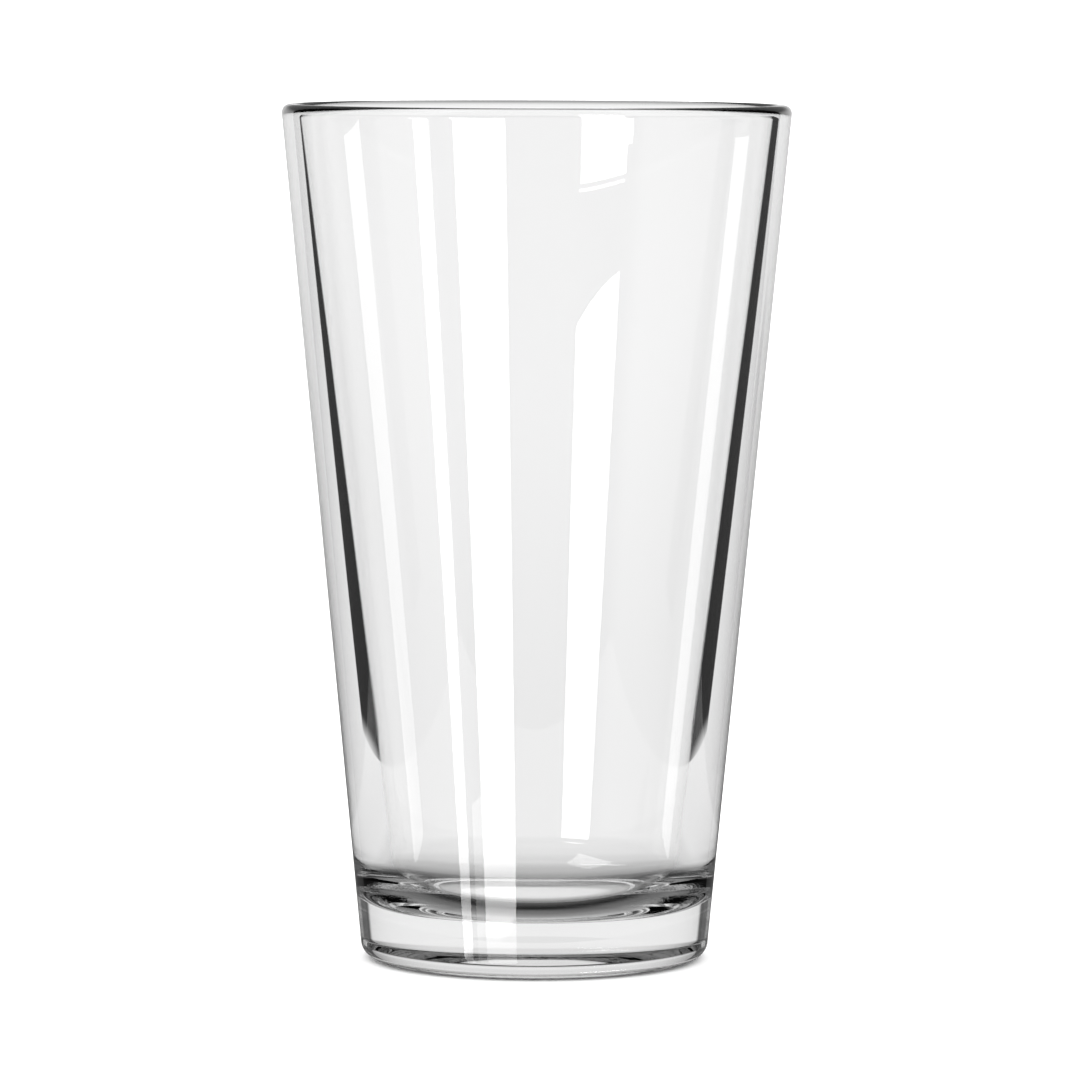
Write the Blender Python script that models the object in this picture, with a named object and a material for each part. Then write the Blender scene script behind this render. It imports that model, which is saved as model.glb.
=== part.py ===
"""A one-piece pressed-glass mixing glass of 16 US fluid ounces.

The glass stands on the XY plane with its axis on Z, and its origin at the middle of its foot. It is a single
piece of soda-lime glass: a tapered outer cone pressed in a mould, and a steeper inner cone left by the plunger,
so that the wall grows from the rim down to a thick floor. Its only node is one turned profile, in metres.
"""

import math

import bpy

# Driving dimensions. The diameters are those of the outer cone where it meets the rim's and the foot's planes.
HEIGHT = 0.1492
RIM_DIAMETER = 0.0890
FOOT_DIAMETER = 0.0603
WALL_AT_RIM = 0.0032
WALL_AT_FLOOR = 0.0069
FLOOR_THICKNESS = 0.0092

# Roundings. The rim is melted round, the heel comes from the mould, and the fillet and crown from the plunger.
RIM_RADIUS = 0.0015
HEEL_RADIUS = 0.0030
FLOOR_FILLET = 0.0105
FLOOR_SAG = 0.0004

# The underside is pushed up inside a flat ring, so that the glass stands on the ring alone.
PUSH_UP_RADIUS = 0.0225
PUSH_UP_HEIGHT = 0.0006
PUSH_UP_EDGE = 0.0020

# How finely the round shapes are cut into flat faces.
STEPS_AROUND = 96
STEPS_ON_RIM = 5
STEPS_ON_HEEL = 6
STEPS_ON_FILLET = 8
STEPS_ON_SHALLOW = 3
MERGE_DISTANCE = 0.000001

GLASS_COLOUR = (0.98, 0.98, 0.98, 1.0)
GLASS_ROUGHNESS = 0.02
GLASS_INDEX = 1.52


def outer_radius(height):
    """Radius of the outer cone at a height above the table."""
    slope = (RIM_DIAMETER - FOOT_DIAMETER) / 2 / HEIGHT
    return FOOT_DIAMETER / 2 + slope * height


def inner_radius(height):
    """Radius of the inner cone, which starts at the floor and ends at the rim."""
    at_floor = outer_radius(FLOOR_THICKNESS) - WALL_AT_FLOOR
    at_rim = outer_radius(HEIGHT) - WALL_AT_RIM
    return at_floor + (at_rim - at_floor) * (height - FLOOR_THICKNESS) / (HEIGHT - FLOOR_THICKNESS)


def half_angle(radius_at):
    """Angle between the axis and the wall of a cone, which is given by its radius at each height."""
    return math.atan2(radius_at(HEIGHT) - radius_at(0), HEIGHT)


def arc(centre, radius, start, end, steps):
    """Points (r, z) on an arc in the profile's plane, both ends included. Angles are measured from +r to +z."""
    angles = [start + (end - start) * i / steps for i in range(steps + 1)]
    return [(centre[0] + radius * math.cos(a), centre[1] + radius * math.sin(a)) for a in angles]


def floor_arc():
    """The inside from its lowest point, on the axis, to the wall: a slightly dished floor and its fillet."""
    lean = half_angle(inner_radius)
    centre_z = FLOOR_THICKNESS + FLOOR_FILLET
    centre_r = inner_radius(centre_z) - FLOOR_FILLET / math.cos(lean)
    dish = [
        (centre_r * i / STEPS_ON_SHALLOW, FLOOR_THICKNESS - FLOOR_SAG * (1 - (i / STEPS_ON_SHALLOW) ** 2))
        for i in range(STEPS_ON_SHALLOW)
    ]
    return dish + arc((centre_r, centre_z), FLOOR_FILLET, -math.pi / 2, -lean, STEPS_ON_FILLET)


def rim_arc():
    """The rounded lip, from the inner wall over the top to the outer wall."""
    inner_lean = half_angle(inner_radius)
    outer_lean = half_angle(outer_radius)
    centre_z = HEIGHT - RIM_RADIUS
    inner_centre = (inner_radius(centre_z) + RIM_RADIUS / math.cos(inner_lean), centre_z)
    outer_centre = (outer_radius(centre_z) - RIM_RADIUS / math.cos(outer_lean), centre_z)
    inside = arc(inner_centre, RIM_RADIUS, math.pi - inner_lean, math.pi / 2, STEPS_ON_RIM)
    outside = arc(outer_centre, RIM_RADIUS, math.pi / 2, -outer_lean, STEPS_ON_RIM)
    return inside + outside


def heel_arc():
    """The rounded edge between the outer wall and the flat ring that the glass stands on."""
    lean = half_angle(outer_radius)
    centre = (outer_radius(HEEL_RADIUS) - HEEL_RADIUS / math.cos(lean), HEEL_RADIUS)
    return arc(centre, HEEL_RADIUS, -lean, -math.pi / 2, STEPS_ON_HEEL)


def underside():
    """From the flat ring's inner edge up a soft step to the pushed-up middle, and in to the axis."""
    step = []
    for i in range(STEPS_ON_SHALLOW + 1):
        share = i / STEPS_ON_SHALLOW
        rise = PUSH_UP_HEIGHT * share * share * (3 - 2 * share)
        step.append((PUSH_UP_RADIUS - PUSH_UP_EDGE * share, rise))
    return step + [(0.0, PUSH_UP_HEIGHT)]


def glass_material():
    """Clear, colourless soda-lime glass."""
    material = bpy.data.materials.new("clear_glass")
    material.use_nodes = True
    shader = material.node_tree.nodes["Principled BSDF"]
    shader.inputs["Base Color"].default_value = GLASS_COLOUR
    shader.inputs["Roughness"].default_value = GLASS_ROUGHNESS
    shader.inputs["Metallic"].default_value = 0.0
    shader.inputs["IOR"].default_value = GLASS_INDEX
    shader.inputs["Transmission Weight"].default_value = 1.0
    return material


def turned(name, profile, material):
    """A solid of revolution about Z, from a profile of (r, z) that starts and ends on the axis."""
    mesh = bpy.data.meshes.new(name)
    points = [(r, 0.0, z) for r, z in profile]
    edges = [(i, i + 1) for i in range(len(points) - 1)]
    mesh.from_pydata(points, edges, [])
    mesh.materials.append(material)
    solid = bpy.data.objects.new(name, mesh)
    bpy.context.scene.collection.objects.link(solid)
    screw = solid.modifiers.new("Turn", "SCREW")
    screw.axis = "Z"
    screw.steps = STEPS_AROUND
    screw.render_steps = STEPS_AROUND
    screw.use_merge_vertices = True
    screw.merge_threshold = MERGE_DISTANCE
    screw.use_smooth_shade = True
    return solid


def main():
    for leftover in list(bpy.data.objects):
        bpy.data.objects.remove(leftover)
    profile = floor_arc() + rim_arc() + heel_arc() + underside()
    turned("mixing_glass", profile, glass_material())


main()
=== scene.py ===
"""The looks of a one-piece pressed-glass mixing glass, in a plain bright studio.

The glass is one solid of revolution, turned by a Geometry Nodes tree from its own profile, and it stands for
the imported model's only node. Lengths are metres, and Z is up.
"""

import math

import bpy
from mathutils import Matrix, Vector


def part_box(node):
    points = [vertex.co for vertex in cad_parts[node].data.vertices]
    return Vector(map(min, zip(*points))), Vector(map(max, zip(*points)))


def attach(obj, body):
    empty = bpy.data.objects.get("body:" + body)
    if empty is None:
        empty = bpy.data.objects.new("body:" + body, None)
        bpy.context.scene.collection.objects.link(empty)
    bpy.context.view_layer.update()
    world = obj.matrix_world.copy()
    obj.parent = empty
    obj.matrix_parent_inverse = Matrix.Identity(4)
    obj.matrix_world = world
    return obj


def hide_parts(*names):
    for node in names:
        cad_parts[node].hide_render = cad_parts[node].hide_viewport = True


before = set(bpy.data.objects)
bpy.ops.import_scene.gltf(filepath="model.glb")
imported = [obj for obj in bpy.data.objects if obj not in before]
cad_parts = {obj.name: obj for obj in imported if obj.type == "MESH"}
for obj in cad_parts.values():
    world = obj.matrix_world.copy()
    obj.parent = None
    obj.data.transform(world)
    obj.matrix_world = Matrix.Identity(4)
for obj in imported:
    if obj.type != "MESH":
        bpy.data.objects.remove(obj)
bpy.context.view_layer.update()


# ---- The glass ----------------------------------------------------------------------------------------------
# One gob of soda-lime glass, pressed between a mould and a plunger: the mould leaves the tapered outside and the
# rounded heel, the plunger the steeper inside and the filleted floor. The rim is melted round in a flame. It is
# turned here from a profile of eight corners, which are rounded before the turn.

low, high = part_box("mixing_glass")
HEIGHT = high.z - low.z
RIM_RADIUS = 0.0445
FOOT_RADIUS = 0.03015
WALL_AT_RIM = 0.0032
WALL_AT_FLOOR = 0.0069
FLOOR_THICKNESS = 0.0092
FLOOR_DISH = 0.0004
FLOOR_FILLET = 0.0105
LIP_ROUNDING = 0.0015
HEEL_ROUNDING = 0.0030
RING_INNER_RADIUS = 0.0225
PUSH_UP_HEIGHT = 0.0006
PUSH_UP_EDGE = 0.0020
RING_ROUNDING = 0.0015

# How far from a corner a straight stretch is held in place, as a share of the corner's rounding.
FILLET_REACH = 0.95
LIP_REACH = 1.3
HEEL_REACH = 1.2

RIPPLE = 0.000004
RIPPLE_LENGTH = 0.022
RIPPLE_DETAIL = 1.0
FACES_AROUND = 384
STEPS_ON_ROUNDING = 12
STEPS_ON_FILLET = 40
LONGEST_STEP = 0.0025
MERGE_DISTANCE = 0.000001
SEED = 7

REFRACTIVE_INDEX = 1.52
GLASS_TINT = (0.8, 0.8, 0.8, 1.0)
GLASS_DENSITY = 14.0
RING_EDGE = (0.0222, 0.0226)
RING_LEVEL = (0.0009, 0.0002)
SMEAR_SCALE = 45.0
SMEAR_DETAIL = 3.0
SMEAR_RANGE = (0.58, 0.8)
SMEAR_LEVEL = (0.02, 0.04)
SMEAR_ROUGHNESS = 0.004
SCUFF_SCALE = 900.0
SCUFF_DETAIL = 2.0
SCUFF_ROUGHNESS = 0.12
STIPPLE_SCALE = 700.0
STIPPLE_DETAIL = 2.0
STIPPLE_DEPTH = 0.0001


def add(tree, kind, inputs=None, **settings):
    """A node of a tree. Its inputs are given by name or number, each a value or the socket that feeds it."""
    node = tree.nodes.new(kind)
    for name, value in settings.items():
        setattr(node, name, value)
    for key, value in (inputs or {}).items():
        if isinstance(value, bpy.types.NodeSocket):
            tree.links.new(value, node.inputs[key])
        else:
            node.inputs[key].default_value = value
    return node


def calc(tree, operation, *terms):
    """The result of one math node."""
    return add(tree, "ShaderNodeMath", dict(enumerate(terms)), operation=operation).outputs[0]


def fade(tree, value, span, first=0.0, last=1.0, kind="LINEAR"):
    """From the first to the last result, while the value goes from the start to the end of a span."""
    return add(tree, "ShaderNodeMapRange", {
        "Value": value, "From Min": span[0], "From Max": span[1], "To Min": first, "To Max": last,
    }, interpolation_type=kind).outputs[0]


def speckle(tree, place, scale, detail):
    """A fine cloudy pattern, between 0 and 1."""
    return add(tree, "ShaderNodeTexNoise", {"Vector": place, "Scale": scale, "Detail": detail}).outputs[0]


def pick(tree, kind, values):
    """One of several values, by the index of the point that it is asked for."""
    index = add(tree, "GeometryNodeInputIndex").outputs[0]
    switch = add(tree, "GeometryNodeIndexSwitch", {"Index": index}, data_type=kind)
    while len(switch.index_switch_items) < len(values):
        switch.index_switch_items.new()
    for slot, value in zip(switch.inputs[1:], values):
        if isinstance(value, bpy.types.NodeSocket):
            tree.links.new(value, slot)
        else:
            slot.default_value = value
    return switch.outputs[0]


def turned_glass_tree():
    """The tree that turns the glass. Its sizes are named inputs."""
    tree = bpy.data.node_groups.new("turned_glass", "GeometryNodeTree")
    face = tree.interface
    face.new_socket("Geometry", in_out="OUTPUT", socket_type="NodeSocketGeometry")
    sizes = {
        "Height": HEIGHT,
        "Rim Radius": RIM_RADIUS,
        "Foot Radius": FOOT_RADIUS,
        "Wall at Rim": WALL_AT_RIM,
        "Wall at Floor": WALL_AT_FLOOR,
        "Floor Thickness": FLOOR_THICKNESS,
        "Floor Dish": FLOOR_DISH,
        "Floor Fillet": FLOOR_FILLET,
        "Lip Rounding": LIP_ROUNDING,
        "Heel Rounding": HEEL_ROUNDING,
        "Ring Inner Radius": RING_INNER_RADIUS,
        "Push-up Height": PUSH_UP_HEIGHT,
        "Push-up Edge": PUSH_UP_EDGE,
        "Ring Rounding": RING_ROUNDING,
        "Ripple": RIPPLE,
        "Ripple Length": RIPPLE_LENGTH,
        "Longest Step": LONGEST_STEP,
    }
    counts = {
        "Faces Around": FACES_AROUND,
        "Steps on a Rounding": STEPS_ON_ROUNDING,
        "Steps on the Fillet": STEPS_ON_FILLET,
        "Seed": SEED,
    }
    for name, value in sizes.items():
        face.new_socket(name, in_out="INPUT", socket_type="NodeSocketFloat").default_value = value
    for name, value in counts.items():
        face.new_socket(name, in_out="INPUT", socket_type="NodeSocketInt").default_value = value
    face.new_socket("Glass", in_out="INPUT", socket_type="NodeSocketMaterial")
    given = add(tree, "NodeGroupInput").outputs

    def corner(radius, height):
        return add(tree, "ShaderNodeCombineXYZ", {"X": radius, "Z": height}).outputs[0]

    # The corners, from the middle of the inside over the rim to the middle of the underside.
    widening = calc(tree, "SUBTRACT", given["Rim Radius"], given["Foot Radius"])
    share = calc(tree, "DIVIDE", given["Floor Thickness"], given["Height"])
    outer_at_floor = calc(tree, "MULTIPLY_ADD", widening, share, given["Foot Radius"])
    step_radius = calc(tree, "SUBTRACT", given["Ring Inner Radius"], given["Push-up Edge"])
    inside = corner(0.0, calc(tree, "SUBTRACT", given["Floor Thickness"], given["Floor Dish"]))
    inner_at_floor = calc(tree, "SUBTRACT", outer_at_floor, given["Wall at Floor"])
    floor_edge = corner(inner_at_floor, given["Floor Thickness"])
    inner_lip = corner(calc(tree, "SUBTRACT", given["Rim Radius"], given["Wall at Rim"]), given["Height"])
    outer_lip = corner(given["Rim Radius"], given["Height"])
    heel = corner(given["Foot Radius"], 0.0)
    ring = corner(given["Ring Inner Radius"], 0.0)

    def beside(start, end, rounding, reach):
        """A point on a straight stretch, near the rounding at its start, which keeps the stretch flat."""
        along = add(tree, "ShaderNodeVectorMath", {0: end, 1: start}, operation="SUBTRACT").outputs[0]
        way = add(tree, "ShaderNodeVectorMath", {0: along}, operation="NORMALIZE").outputs[0]
        length = calc(tree, "MULTIPLY", given[rounding], reach)
        step = add(tree, "ShaderNodeVectorMath", {0: way, "Scale": length}, operation="SCALE").outputs[0]
        return add(tree, "ShaderNodeVectorMath", {0: start, 1: step}, operation="ADD").outputs[0]

    few = given["Steps on a Rounding"]
    many = given["Steps on the Fillet"]
    corners = [
        (inside, 0.0, 1),
        (beside(floor_edge, inside, "Floor Fillet", FILLET_REACH), 0.0, 1),
        (floor_edge, given["Floor Fillet"], many),
        (beside(floor_edge, inner_lip, "Floor Fillet", FILLET_REACH), 0.0, 1),
        (beside(inner_lip, floor_edge, "Lip Rounding", LIP_REACH), 0.0, 1),
        (inner_lip, given["Lip Rounding"], few),
        (outer_lip, given["Lip Rounding"], few),
        (beside(outer_lip, heel, "Lip Rounding", LIP_REACH), 0.0, 1),
        (beside(heel, outer_lip, "Heel Rounding", HEEL_REACH), 0.0, 1),
        (heel, given["Heel Rounding"], few),
        (beside(heel, ring, "Heel Rounding", HEEL_REACH), 0.0, 1),
        (ring, given["Ring Rounding"], few),
        (corner(step_radius, given["Push-up Height"]), given["Ring Rounding"], few),
        (corner(0.0, given["Push-up Height"]), 0.0, 1),
    ]
    places, roundings, steps = zip(*corners)
    line = add(tree, "GeometryNodeMeshLine", {"Count": len(corners)})
    placed = add(tree, "GeometryNodeSetPosition",
                 {"Geometry": line.outputs[0], "Position": pick(tree, "VECTOR", places)})
    curve = add(tree, "GeometryNodeMeshToCurve", {"Mesh": placed.outputs[0]})
    rounded = add(tree, "GeometryNodeFilletCurve", {
        "Curve": curve.outputs[0], "Count": pick(tree, "INT", steps),
        "Radius": pick(tree, "FLOAT", roundings),
    }, mode="POLY")

    # The straight stretches are cut into steps, so that they can carry the ripple.
    position = add(tree, "GeometryNodeInputPosition").outputs[0]
    index = add(tree, "GeometryNodeInputIndex").outputs[0]
    following = calc(tree, "ADD", index, 1.0)
    ahead = add(tree, "GeometryNodeFieldAtIndex", {"Index": following, "Value": position},
                data_type="FLOAT_VECTOR")
    gap = add(tree, "ShaderNodeVectorMath", {0: position, 1: ahead.outputs[0]}, operation="DISTANCE")
    cuts = calc(tree, "FLOOR", calc(tree, "DIVIDE", gap.outputs["Value"], given["Longest Step"]))
    profile = add(tree, "GeometryNodeSubdivideCurve", {"Curve": rounded.outputs[0], "Cuts": cuts}).outputs[0]

    # A sheet of columns round the glass and rows along the profile, rolled up about the axis.
    size = add(tree, "GeometryNodeAttributeDomainSize", {0: profile}, component="CURVE")
    rows = size.outputs["Point Count"]
    columns = calc(tree, "ADD", given["Faces Around"], 1.0)
    sheet = add(tree, "GeometryNodeMeshGrid", {"Vertices X": columns, "Vertices Y": rows})
    row = calc(tree, "MODULO", index, rows)
    column = calc(tree, "FLOOR", calc(tree, "DIVIDE", calc(tree, "ADD", index, 0.5), rows))
    sample = add(tree, "GeometryNodeSampleIndex", {0: profile, "Value": position, "Index": row},
                 data_type="FLOAT_VECTOR", domain="POINT")
    point = add(tree, "ShaderNodeSeparateXYZ", {0: sample.outputs[0]}).outputs
    angle = calc(tree, "MULTIPLY", calc(tree, "DIVIDE", column, given["Faces Around"]), 2 * math.pi)
    rolled = add(tree, "ShaderNodeCombineXYZ", {
        "X": calc(tree, "MULTIPLY", point["X"], calc(tree, "COSINE", angle)),
        "Y": calc(tree, "MULTIPLY", point["X"], calc(tree, "SINE", angle)),
        "Z": point["Z"],
    })
    turned = add(tree, "GeometryNodeSetPosition",
                 {"Geometry": sheet.outputs[0], "Position": rolled.outputs[0]})
    merged = add(tree, "GeometryNodeMergeByDistance",
                 {"Geometry": turned.outputs[0], "Distance": MERGE_DISTANCE})
    closed = add(tree, "GeometryNodeFlipFaces", {"Mesh": merged.outputs[0]})

    # Chilled glass is never quite even: a faint ripple, which leaves the foot flat.
    noise = add(tree, "ShaderNodeTexNoise", {
        "Vector": position, "W": given["Seed"],
        "Scale": calc(tree, "DIVIDE", 1.0, given["Ripple Length"]), "Detail": RIPPLE_DETAIL,
    }, noise_dimensions="4D")
    level = add(tree, "ShaderNodeSeparateXYZ", {0: position}).outputs["Z"]
    off_foot = fade(tree, level, (given["Heel Rounding"], given["Floor Thickness"]), kind="SMOOTHSTEP")
    height_of = calc(tree, "MULTIPLY", calc(tree, "SUBTRACT", noise.outputs[0], 0.5), given["Ripple"])
    normal = add(tree, "GeometryNodeInputNormal").outputs[0]
    push = add(tree, "ShaderNodeVectorMath", {
        0: normal, "Scale": calc(tree, "MULTIPLY", height_of, calc(tree, "MULTIPLY", off_foot, 2.0)),
    }, operation="SCALE").outputs[0]
    rippled = add(tree, "GeometryNodeSetPosition", {"Geometry": closed.outputs[0], "Offset": push})
    smooth = add(tree, "GeometryNodeSetShadeSmooth", {"Geometry": rippled.outputs[0]})
    real = add(tree, "GeometryNodeRealizeInstances", {"Geometry": smooth.outputs[0]})
    done = add(tree, "GeometryNodeSetMaterial", {"Geometry": real.outputs[0], "Material": given["Glass"]})
    add(tree, "NodeGroupOutput", {0: done.outputs[0]})
    return tree


def clear_glass():
    """Fire-finished, colourless soda-lime glass, with a stippled and lightly scuffed bearing ring."""
    material = bpy.data.materials.new("clear_glass")
    material.use_nodes = True
    tree = material.node_tree
    shader = tree.nodes["Principled BSDF"]
    shader.inputs["Base Color"].default_value = (1.0, 1.0, 1.0, 1.0)
    shader.inputs["Metallic"].default_value = 0.0
    shader.inputs["IOR"].default_value = REFRACTIVE_INDEX
    shader.inputs["Transmission Weight"].default_value = 1.0
    where = add(tree, "ShaderNodeTexCoord").outputs["Object"]
    level = add(tree, "ShaderNodeSeparateXYZ", {0: where}).outputs["Z"]
    flat = add(tree, "ShaderNodeVectorMath", {0: where, 1: (1.0, 1.0, 0.0)}, operation="MULTIPLY").outputs[0]
    out = add(tree, "ShaderNodeVectorMath", {0: flat}, operation="LENGTH").outputs["Value"]
    ring = calc(tree, "MULTIPLY", fade(tree, out, RING_EDGE), fade(tree, level, RING_LEVEL))
    smears = speckle(tree, where, SMEAR_SCALE, SMEAR_DETAIL)
    haze = fade(tree, smears, SMEAR_RANGE, 0.0, SMEAR_ROUGHNESS)
    clouded = calc(tree, "MULTIPLY", haze, fade(tree, level, SMEAR_LEVEL))
    scuffs = speckle(tree, where, SCUFF_SCALE, SCUFF_DETAIL)
    scuffed = calc(tree, "MULTIPLY", ring, calc(tree, "MULTIPLY", scuffs, SCUFF_ROUGHNESS))
    tree.links.new(calc(tree, "MAXIMUM", clouded, scuffed), shader.inputs["Roughness"])
    stipple = speckle(tree, where, STIPPLE_SCALE, STIPPLE_DETAIL)
    grain = calc(tree, "MULTIPLY", calc(tree, "SUBTRACT", stipple, 0.5), ring)
    bump = add(tree, "ShaderNodeBump", {"Height": grain, "Strength": 1.0, "Distance": STIPPLE_DEPTH})
    tree.links.new(bump.outputs[0], shader.inputs["Normal"])
    depth = add(tree, "ShaderNodeVolumeAbsorption", {"Color": GLASS_TINT, "Density": GLASS_DENSITY})
    tree.links.new(depth.outputs[0], tree.nodes["Material Output"].inputs["Volume"])
    return material


def made_solid(name, tree, inputs):
    """A plain mesh object, made by a tree. The inputs are given by name."""
    base = bpy.data.objects.new(name + "_base", bpy.data.meshes.new(name + "_base"))
    bpy.context.scene.collection.objects.link(base)
    modifier = base.modifiers.new("Turn", "NODES")
    modifier.node_group = tree
    sockets = {s.name: s.identifier for s in tree.interface.items_tree if s.in_out == "INPUT"}
    for key, value in inputs.items():
        modifier[sockets[key]] = value
    evaluated = base.evaluated_get(bpy.context.evaluated_depsgraph_get())
    mesh = bpy.data.meshes.new_from_object(evaluated)
    mesh.name = name
    bpy.data.objects.remove(base)
    solid = bpy.data.objects.new(name, mesh)
    bpy.context.scene.collection.objects.link(solid)
    return solid


glass = made_solid("glass_body", turned_glass_tree(), {"Glass": clear_glass()})
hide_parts("mixing_glass")
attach(glass, "root")


# ---- The floor ----------------------------------------------------------------------------------------------
# A plain pale sweep, wide enough for every view. What shows of it through the glass is a board of its own, which
# glows as bright as the studio's field, with painted shade of the glass and painted light that gathers under its
# foot.

FLOOR_RADIUS = 4.0
FLOOR_EDGES = 96
FLOOR_GAP = 0.0002
PAINT_SCALE = 60.0
PAINT_DETAIL = 4.0
PAINT_SHADES = (0.94, 0.96)
BOARD_HALF_WIDTH = 0.138
BOARD_GAP = 1.2 * FLOOR_GAP
# The board's painted light spot is oval, and the far side of the foot gets painted shade.
SPOT_SQUASH = 0.55
FAR_SHADE = 0.65
FAR_SHADE_EDGE = (0.0095, 0.0105)
FAR_SHADE_WIDTH = (0.026, 0.022)
# Painted glow of the board by distance from the axis: painted light under the foot, painted shade round it, then
# the field.
BOARD_PAINTED_LIGHT = [
    (0.0, 0.94), (0.006, 0.90), (0.010, 0.50), (0.014, 0.27), (0.018, 0.15), (0.022, 0.02),
    (0.027, 0.12), (0.035, 0.38), (0.045, 0.58), (0.055, 0.78), (0.070, 0.90), (0.146, 0.97),
]


def floor_paint():
    """Matt pale paint with the faint mottle of a rolled coat."""
    material = bpy.data.materials.new("floor_paint")
    material.use_nodes = True
    tree = material.node_tree
    shader = tree.nodes["Principled BSDF"]
    where = add(tree, "ShaderNodeTexCoord").outputs["Object"]
    mottle = speckle(tree, where, PAINT_SCALE, PAINT_DETAIL)
    shade = fade(tree, mottle, (0.0, 1.0), *PAINT_SHADES)
    tree.links.new(shade, shader.inputs["Base Color"])
    shader.inputs["Roughness"].default_value = 1.0
    shader.inputs["Specular IOR Level"].default_value = 0.0
    return material


def board_painted_light():
    """An oval spot of painted light in the middle, painted shade of the foot round it, and painted shade on the
    far side.
    """
    material = bpy.data.materials.new("board_painted_light")
    material.use_nodes = True
    tree = material.node_tree
    tree.nodes.clear()
    where = add(tree, "ShaderNodeTexCoord").outputs["Object"]
    oval = add(tree, "ShaderNodeVectorMath", {0: where, 1: (SPOT_SQUASH, 1.0, 1.0)}, operation="MULTIPLY")
    distance = add(tree, "ShaderNodeVectorMath", {0: oval.outputs[0]}, operation="LENGTH").outputs["Value"]
    furthest = BOARD_PAINTED_LIGHT[-1][0]
    # Rings of painted light and painted shade, by the distance from the glass's axis.
    rings = add(tree, "ShaderNodeValToRGB", {"Fac": calc(tree, "DIVIDE", distance, furthest)})
    rings.color_ramp.interpolation = "EASE"
    stops = rings.color_ramp.elements
    for i, (radius, glow) in enumerate(BOARD_PAINTED_LIGHT):
        stop = stops[i] if i < 2 else stops.new(1.0)
        stop.position = radius / furthest
        stop.color = (glow, glow, glow, 1.0)
    # Painted shade on the far side of the foot, beyond the middle.
    beyond = add(tree, "ShaderNodeSeparateXYZ", {0: where}).outputs["Y"]
    behind = fade(tree, beyond, FAR_SHADE_EDGE)
    near = fade(tree, distance, FAR_SHADE_WIDTH)
    shade = calc(tree, "MULTIPLY_ADD", calc(tree, "MULTIPLY", behind, near), -FAR_SHADE, 1.0)
    light = add(tree, "ShaderNodeEmission", {"Color": rings.outputs[0], "Strength": shade})
    add(tree, "ShaderNodeOutputMaterial", {"Surface": light.outputs[0]})
    return material


def flat_sheet(name, outline, height, material):
    """A level sheet with a given outline."""
    mesh = bpy.data.meshes.new(name)
    mesh.from_pydata([(x, y, height) for x, y in outline], [], [range(len(outline))])
    mesh.materials.append(material)
    sheet = bpy.data.objects.new(name, mesh)
    bpy.context.scene.collection.objects.link(sheet)
    sheet.visible_glossy = False
    return sheet


turns = [2 * math.pi * i / FLOOR_EDGES for i in range(FLOOR_EDGES)]
circle = [(FLOOR_RADIUS * math.cos(a), FLOOR_RADIUS * math.sin(a)) for a in turns]
square = [(BOARD_HALF_WIDTH * x, BOARD_HALF_WIDTH * y) for x, y in [(-1, -1), (1, -1), (1, 1), (-1, 1)]]
floor = flat_sheet("floor", circle, low.z - FLOOR_GAP, floor_paint())
floor.visible_transmission = False
# The board glows with painted light and painted shade, and it is seen only through the glass.
board = flat_sheet("board", square, low.z - BOARD_GAP, board_painted_light())
board.visible_camera = False
board.visible_diffuse = False
board.visible_shadow = False


# ---- The studio ---------------------------------------------------------------------------------------------
# A white field all round, with black wedge flags low down on the diagonals, which draw the glass's dark bands.
# The room behind the camera is dim, and the camera sees a plain white backdrop. How bright a part of the studio
# is depends on whether the light from it was mirrored in the glass, and how often. Angles are in degrees.

BACKDROP = 2.0
FIELD_HIGH = 1.07
FIELD_LOW = 0.99
FIELD_RISE = (-8.5, -4.5)
UNDER_FIELD = 1.1
UNDER_FIELD_RISE = (-15, -11)
FAR_UNDER = 0.40
FAR_UNDER_RISE = (-44, -12)
FAR_UNDER_CROSSINGS = 3.0
SKY_FRONT = 0.9
SKY_BACK = 0.37
SKY_TURN = (20, 80)
SKY_RISE = (3, 9)

# A flag's slanting edges are lines: a slope and a place. The edges on the right lean further in at the top.
FLAG = 0.015
FLAG_INNER = 36.3
FLAG_TOP = -5.5
INNER_EDGE = (-1.2, 21.1)
OUTER_EDGE = (-2.48, 18.4)
FOOT_EDGE = (-0.122, -8.3)
LEAN_START = (0, 10)
LEAN_END = (90, 80)
INNER_SOFT = 0.6
OUTER_SOFT = 0.7
TOP_SOFT = 0.7
FOOT_SOFT = (-0.2, 0.1)
TAIL_PLACE = 54.9
TAIL_WIDTH = (1.0, 0.4)
TAIL_FOOT = (-18.5, -17.0)
TAIL_TOP = (-14.0, -14.8)
TAIL_STRENGTH = 0.7

# What the glass mirrors, and what shows straight through it.
ROOM = 0.02
GLANCE_LOW = 0.12
GLANCE_HIGH = 0.85
GLANCE_RISE = (-9.5, -3)
GLANCE_SKY = 0.35
GLANCE_SKY_RISE = (6, 14)
INNER_ECHO = 0.25
INNER_ECHO_RISE = (8, 35)
OPEN_RISE = (20, 40)
SIDE_LOBE = 0.45
SIDE_LOBE_TURN = (50, 58)
BACK_LOBE = 0.12
BACK_LOBE_TURN = (122, 130)
SIDE_GAP = 0.15
SIDE_GAP_TURN = (59, 63)
PAST_GAP = 0.6
PAST_GAP_TURN = (70, 78)


def ramp(value, span, first=0.0, last=1.0):
    """A soft step of a value in the studio, between two levels."""
    return fade(tree, value, span, first, last, kind="SMOOTHSTEP")


def mix(factor, first, second):
    """Between two values, by a factor."""
    node = add(tree, "ShaderNodeMix", {"Factor": factor, "A": first, "B": second}, data_type="FLOAT")
    return node.outputs[0]


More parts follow.
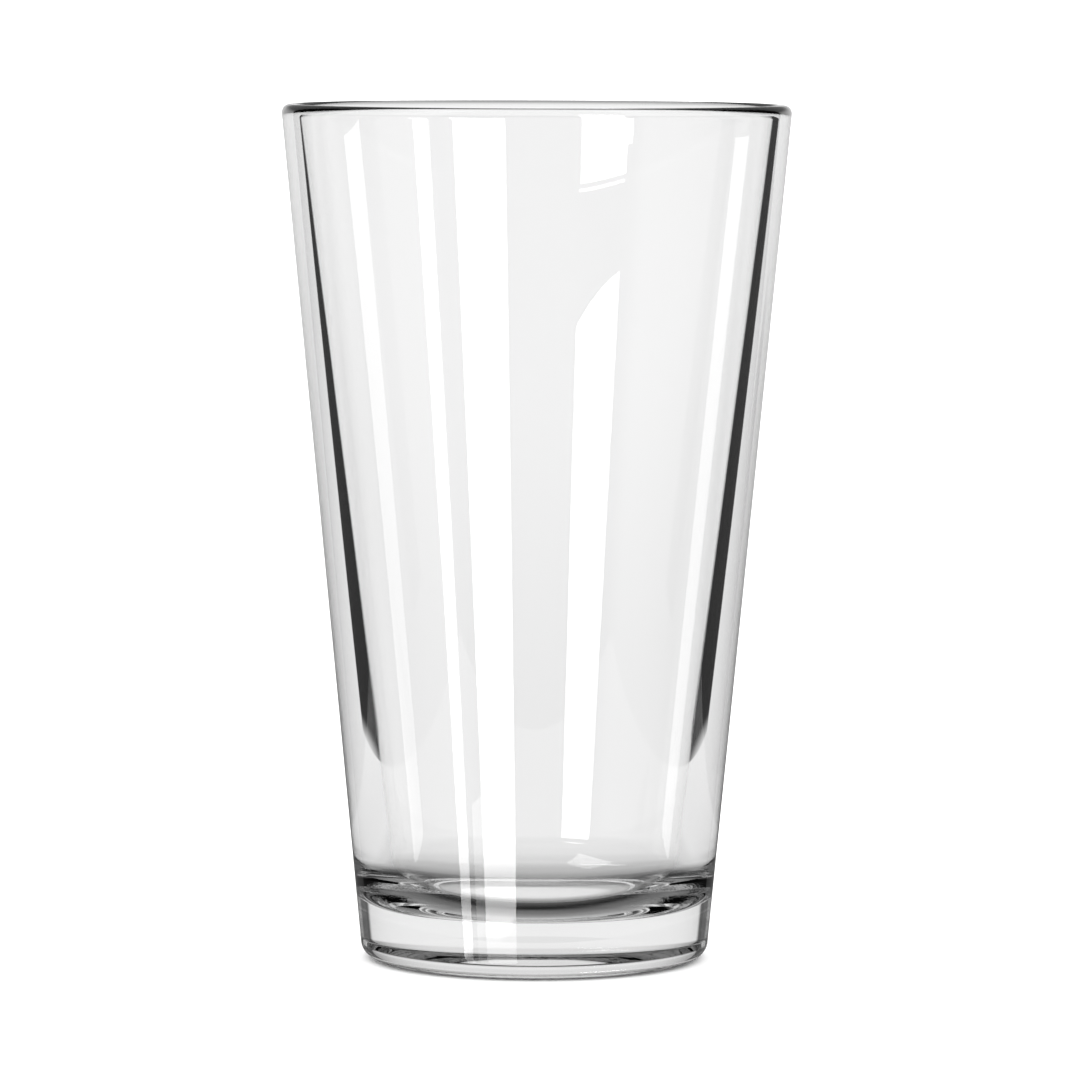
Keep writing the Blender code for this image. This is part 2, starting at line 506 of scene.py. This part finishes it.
world = bpy.data.worlds.new("studio")
world.use_nodes = True
bpy.context.scene.world = world
tree = world.node_tree
tree.nodes.clear()
toward = add(tree, "ShaderNodeTexCoord").outputs["Generated"]
axes = add(tree, "ShaderNodeSeparateXYZ", {0: toward}).outputs
turn = calc(tree, "DEGREES", calc(tree, "ARCTAN2", axes["X"], axes["Y"]))
rise = calc(tree, "DEGREES", calc(tree, "ARCSINE", axes["Z"]))
azimuth = calc(tree, "ABSOLUTE", turn)
quarter = calc(tree, "MODULO", azimuth, 90.0)

# The flags: a wedge on each diagonal, with a thin tail below it.
lean_in = calc(tree, "MULTIPLY", ramp(turn, LEAN_START), ramp(turn, LEAN_END))
slant = calc(tree, "MINIMUM", calc(tree, "MULTIPLY_ADD", rise, *INNER_EDGE), FLAG_INNER)
inner = mix(lean_in, FLAG_INNER, slant)
outer = calc(tree, "MULTIPLY_ADD", rise, *OUTER_EDGE)
foot = calc(tree, "MULTIPLY_ADD", quarter, *FOOT_EDGE)
past_inner = ramp(calc(tree, "SUBTRACT", quarter, inner), (-INNER_SOFT, INNER_SOFT))
before_outer = ramp(calc(tree, "SUBTRACT", quarter, outer), (OUTER_SOFT, -OUTER_SOFT))
over_foot = ramp(calc(tree, "SUBTRACT", rise, foot), FOOT_SOFT)
wedge = calc(tree, "MULTIPLY", past_inner, calc(tree, "MULTIPLY", before_outer, over_foot))
off_tail = calc(tree, "ABSOLUTE", calc(tree, "SUBTRACT", quarter, TAIL_PLACE))
tail = calc(tree, "MULTIPLY", ramp(off_tail, TAIL_WIDTH), ramp(rise, TAIL_FOOT, 0.0, TAIL_STRENGTH))
low_tail = calc(tree, "MULTIPLY", tail, ramp(rise, TAIL_TOP))
flag = calc(tree, "MULTIPLY", ramp(rise, (FLAG_TOP + TOP_SOFT, FLAG_TOP - TOP_SOFT)),
            calc(tree, "MAXIMUM", wedge, low_tail))

# The field, the sky above it, and what lies under it.
path = add(tree, "ShaderNodeLightPath").outputs
few_crossings = calc(tree, "LESS_THAN", path["Transmission Depth"], FAR_UNDER_CROSSINGS)
under = mix(few_crossings, UNDER_FIELD, ramp(rise, FAR_UNDER_RISE, FAR_UNDER, FIELD_LOW))
field = mix(ramp(rise, UNDER_FIELD_RISE), under, ramp(rise, FIELD_RISE, FIELD_LOW, FIELD_HIGH))
sky = ramp(azimuth, SKY_TURN, SKY_FRONT, SKY_BACK)
open_air = mix(ramp(rise, SKY_RISE), mix(flag, field, FLAG), sky)

# The same, after it was mirrored once or more in the glass, or seen straight through it.
bounces = path["Glossy Depth"]
lobe = ramp(azimuth, SIDE_LOBE_TURN, 1.0, SIDE_LOBE)
lobes = calc(tree, "MINIMUM", lobe, ramp(azimuth, BACK_LOBE_TURN, 1.0, BACK_LOBE))
once = calc(tree, "MULTIPLY", open_air, lobes)
echo = ramp(rise, INNER_ECHO_RISE, INNER_ECHO, 1.0)
often = calc(tree, "MULTIPLY", mix(ramp(rise, OPEN_RISE), once, open_air), echo)
gap = ramp(azimuth, SIDE_GAP_TURN, 1.0, SIDE_GAP)
side_gap = calc(tree, "MAXIMUM", gap, ramp(azimuth, PAST_GAP_TURN, 0.0, PAST_GAP))
straight = calc(tree, "MULTIPLY", open_air, side_gap)
mirrored = mix(calc(tree, "GREATER_THAN", bounces, 1.5), once, often)
passed = mix(calc(tree, "GREATER_THAN", bounces, 0.5), straight, mirrored)
ahead = ramp(azimuth, (FLAG_INNER + TOP_SOFT, FLAG_INNER - TOP_SOFT))
near_field = ramp(rise, GLANCE_RISE, GLANCE_LOW, GLANCE_HIGH)
low_glance = calc(tree, "MULTIPLY", near_field, ramp(rise, GLANCE_SKY_RISE, 1.0, GLANCE_SKY))
glance = calc(tree, "MULTIPLY", low_glance, open_air)
lit = mix(path["Is Reflection Ray"], passed, mix(ahead, ROOM, glance))
seen = mix(calc(tree, "MAXIMUM", path["Is Camera Ray"], path["Is Diffuse Ray"]), lit, BACKDROP)
background = add(tree, "ShaderNodeBackground", {"Color": (1, 1, 1, 1), "Strength": seen})
add(tree, "ShaderNodeOutputWorld", {"Surface": background.outputs[0]})


# ---- The light cards ----------------------------------------------------------------------------------------
# Glowing cards that stand round the glass and are seen only as the glass mirrors them, as its white stripes. The
# first five are mirrored in the near outer wall, and the last three in the inner face of the far side.

CARD_DISTANCE = 1.2
CARD_MIDDLE = -11
CARD_SPREAD = 0.013
CORNER_STEPS = 6
DIM_SOFT = 0.12
OUT_AGAIN = 4


def card_height(level):
    """Where a card shows at a given elevation, as seen from the middle of the glass."""
    return HEIGHT / 2 + CARD_DISTANCE * math.tan(math.radians(level))


def card_light(name, brightness, crossings, dim):
    """Light that shows once mirrored, after it crossed the given number of surfaces. dim is the elevation under
    which it is dimmer, and the share that is left there."""
    material = bpy.data.materials.new(name)
    material.use_nodes = True
    tree = material.node_tree
    tree.nodes.clear()
    path = add(tree, "ShaderNodeLightPath").outputs
    through = calc(tree, "COMPARE", path["Transmission Depth"], float(crossings), 0.5)
    if crossings < OUT_AGAIN:
        through = calc(tree, "MULTIPLY", through, path["Is Reflection Ray"])
    shown = calc(tree, "MULTIPLY", through, calc(tree, "COMPARE", path["Glossy Depth"], 1.0, 0.5))
    strength = calc(tree, "MULTIPLY", shown, brightness)
    if dim:
        level, share = dim
        where = add(tree, "ShaderNodeTexCoord").outputs["Object"]
        height = add(tree, "ShaderNodeSeparateXYZ", {0: where}).outputs["Z"]
        edge = (card_height(level - DIM_SOFT), card_height(level + DIM_SOFT))
        strength = calc(tree, "MULTIPLY", strength, fade(tree, height, edge, share, 1.0, kind="SMOOTHSTEP"))
    light = add(tree, "ShaderNodeEmission", {"Strength": strength})
    add(tree, "ShaderNodeOutputMaterial", {"Surface": light.outputs[0]})
    return material


def card(name, sides, start, ends, brightness, crossings, spread=CARD_SPREAD, rounding=(0.0, 0.0), dim=None):
    """A glowing card, placed by angles. Its sides are azimuths, with 0 behind the camera and more to the right,
    and spread towards the top. It reaches from one elevation to another, which is given for both sides. Its
    corners at the start can be rounded, by an angle across and one upwards, or downwards where it is negative."""
    left, right = sides
    across, up = rounding
    arc = [math.radians(90 * i / CORNER_STEPS) for i in range(CORNER_STEPS + 1)]
    outline = [(left + across * (1 - math.cos(a)), start + up * (1 - math.sin(a))) for a in arc]
    outline += [(right - across * (1 - math.sin(a)), start + up * (1 - math.cos(a))) for a in arc]
    outline += [(right, ends[1]), (left, ends[0])]
    corners = []
    for side, level in outline:
        aside = math.radians(side * (1 + spread * (level - CARD_MIDDLE)))
        across_room = CARD_DISTANCE * math.sin(aside)
        towards_back = -CARD_DISTANCE * math.cos(aside)
        corners.append((across_room, towards_back, card_height(level)))
    mesh = bpy.data.meshes.new(name)
    mesh.from_pydata(corners, [], [range(len(corners))])
    mesh.materials.append(card_light(name, brightness, crossings, dim))
    sheet = bpy.data.objects.new(name, mesh)
    bpy.context.scene.collection.objects.link(sheet)
    sheet.visible_camera = False
    sheet.visible_diffuse = False
    sheet.visible_shadow = False


card("key_card", (-36.0, -13.3), -24, (-4.0, -4.0), 9.0, 0, dim=(-21.08, 0.36))
card("fill_card", (-53.8, -46.7), -24, (-4.0, -4.0), 7.0, 0, dim=(-21.0, 0.36))
card("foot_card", (-43.0, -36.0), -24, (-18.8, -18.8), 2.0, 0, dim=(-21.0, 0.5))
card("left_card", (-89.5, -80.3), -17.9, (-4.85, -5.3), 2.4, 0, rounding=(4.5, 0.12))
card("right_card", (93.0, 101.4), -17.1, (-4.55, -3.75), 2.2, 0, rounding=(4.0, 0.12))
card("far_card", (-49.0, -23.6), 21, (-1, -1), 9.0, 4, spread=0.0, rounding=(12.7, -8))
card("mouth_card", (-49.0, -23.6), 11, (18, 18), 9.0, 2, spread=0.0)
card("high_card", (-95.0, -48.0), 38, (58, 58), 5.0, 4, spread=0.0)


# ---- The camera ---------------------------------------------------------------------------------------------
# A long lens, a little over a metre from the glass and somewhat above its rim, which looks slightly down. The
# light is followed through many surfaces, because it crosses and mirrors between the two faces of every wall.

CAMERA_DISTANCE = 1.1634
CAMERA_HEIGHT = 0.1693
CAMERA_ASIDE = 0.00078
CAMERA_PITCH = 4.722
CAMERA_ROLL = 0.18
LENS = 222.73
SENSOR_WIDTH = 36.0
NEAREST = 0.01
FURTHEST = 20.0
MOST_BOUNCES = 32
MOST_MIRRORINGS = 16

data = bpy.data.cameras.new("camera")
data.lens = LENS
data.sensor_width = SENSOR_WIDTH
data.clip_start = NEAREST
data.clip_end = FURTHEST
camera = bpy.data.objects.new("camera", data)
bpy.context.scene.collection.objects.link(camera)
pitch = Matrix.Rotation(math.radians(90 - CAMERA_PITCH), 4, "X")
roll = Matrix.Rotation(math.radians(CAMERA_ROLL), 4, "Z")
stand = Matrix.Translation((CAMERA_ASIDE, -CAMERA_DISTANCE, CAMERA_HEIGHT))
camera.matrix_world = stand @ (pitch @ roll)
bpy.context.scene.camera = camera

view_settings = bpy.context.scene.view_settings
view_settings.view_transform = "Standard"
view_settings.look = "None"
cycles = bpy.context.scene.cycles
cycles.max_bounces = MOST_BOUNCES
cycles.transmission_bounces = MOST_BOUNCES
cycles.glossy_bounces = MOST_MIRRORINGS
